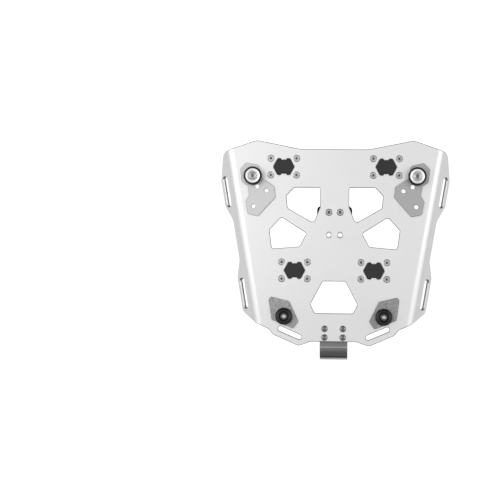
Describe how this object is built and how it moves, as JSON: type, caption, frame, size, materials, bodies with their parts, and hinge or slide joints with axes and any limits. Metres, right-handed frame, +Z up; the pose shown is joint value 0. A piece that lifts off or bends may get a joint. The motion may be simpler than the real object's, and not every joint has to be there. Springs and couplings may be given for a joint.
{
  "type": "motorcycle luggage rack",
  "caption": "Flat aluminium luggage rack with folded sides, strap slots, large cut-outs, black lock points, case adapters with pucks and a folded steel catch at the rear.",
  "frame": {"origin": "top face of the plate, on its centre line, halfway between its straight front and rear edges", "axes": "+X to the right, +Y to the front of the motorcycle, +Z up, out of the face that carries the luggage"},
  "size_m": [0.3586, 0.3418, 0.0445],
  "materials": {
    "plate": "satin, lightly blasted",
    "adapter_front": "matte blasted",
    "adapter_rear": "grainy powder coat",
    "moulding": "fine moulded grain",
    "rubber": "matte",
    "dish": "turned, bright",
    "stainless": "brushed",
    "screws": "plain stainless",
    "dark_screws": "dark stainless",
    "zinc": "zinc plated"
  },
  "bodies": {
    "root": {"rack_plate": "plate", "adapter_plate_front_left": "adapter_front", "adapter_plate_front_right": "adapter_front", "adapter_plate_rear_left": "adapter_rear", "adapter_plate_rear_right": "adapter_rear", "puck_front_left": "moulding", "puck_front_right": "moulding", "puck_dish_left": "dish", "puck_dish_right": "dish", "puck_screws_front": "screws", "puck_washers_front": "zinc", "puck_nuts_front": "zinc", "puck_rear_left": "rubber", "puck_rear_right": "rubber", "puck_screws_rear": "screws", "puck_washers_rear": "zinc", "puck_nuts_rear": "zinc", "lock_housing_front_left": "moulding", "lock_housing_front_right": "moulding", "lock_housing_rear_left": "moulding", "lock_housing_rear_right": "moulding", "plug_front_left": "moulding", "plug_front_right": "moulding", "plug_rear_left": "moulding", "plug_rear_right": "moulding", "lock_screws": "screws", "lock_nuts": "zinc", "centre_block": "moulding", "centre_screws": "screws", "centre_nuts": "zinc", "rear_hook": "stainless", "hook_screws": "dark_screws", "hook_washers": "zinc", "hook_nuts": "zinc"}
  },
  "joints": []
}
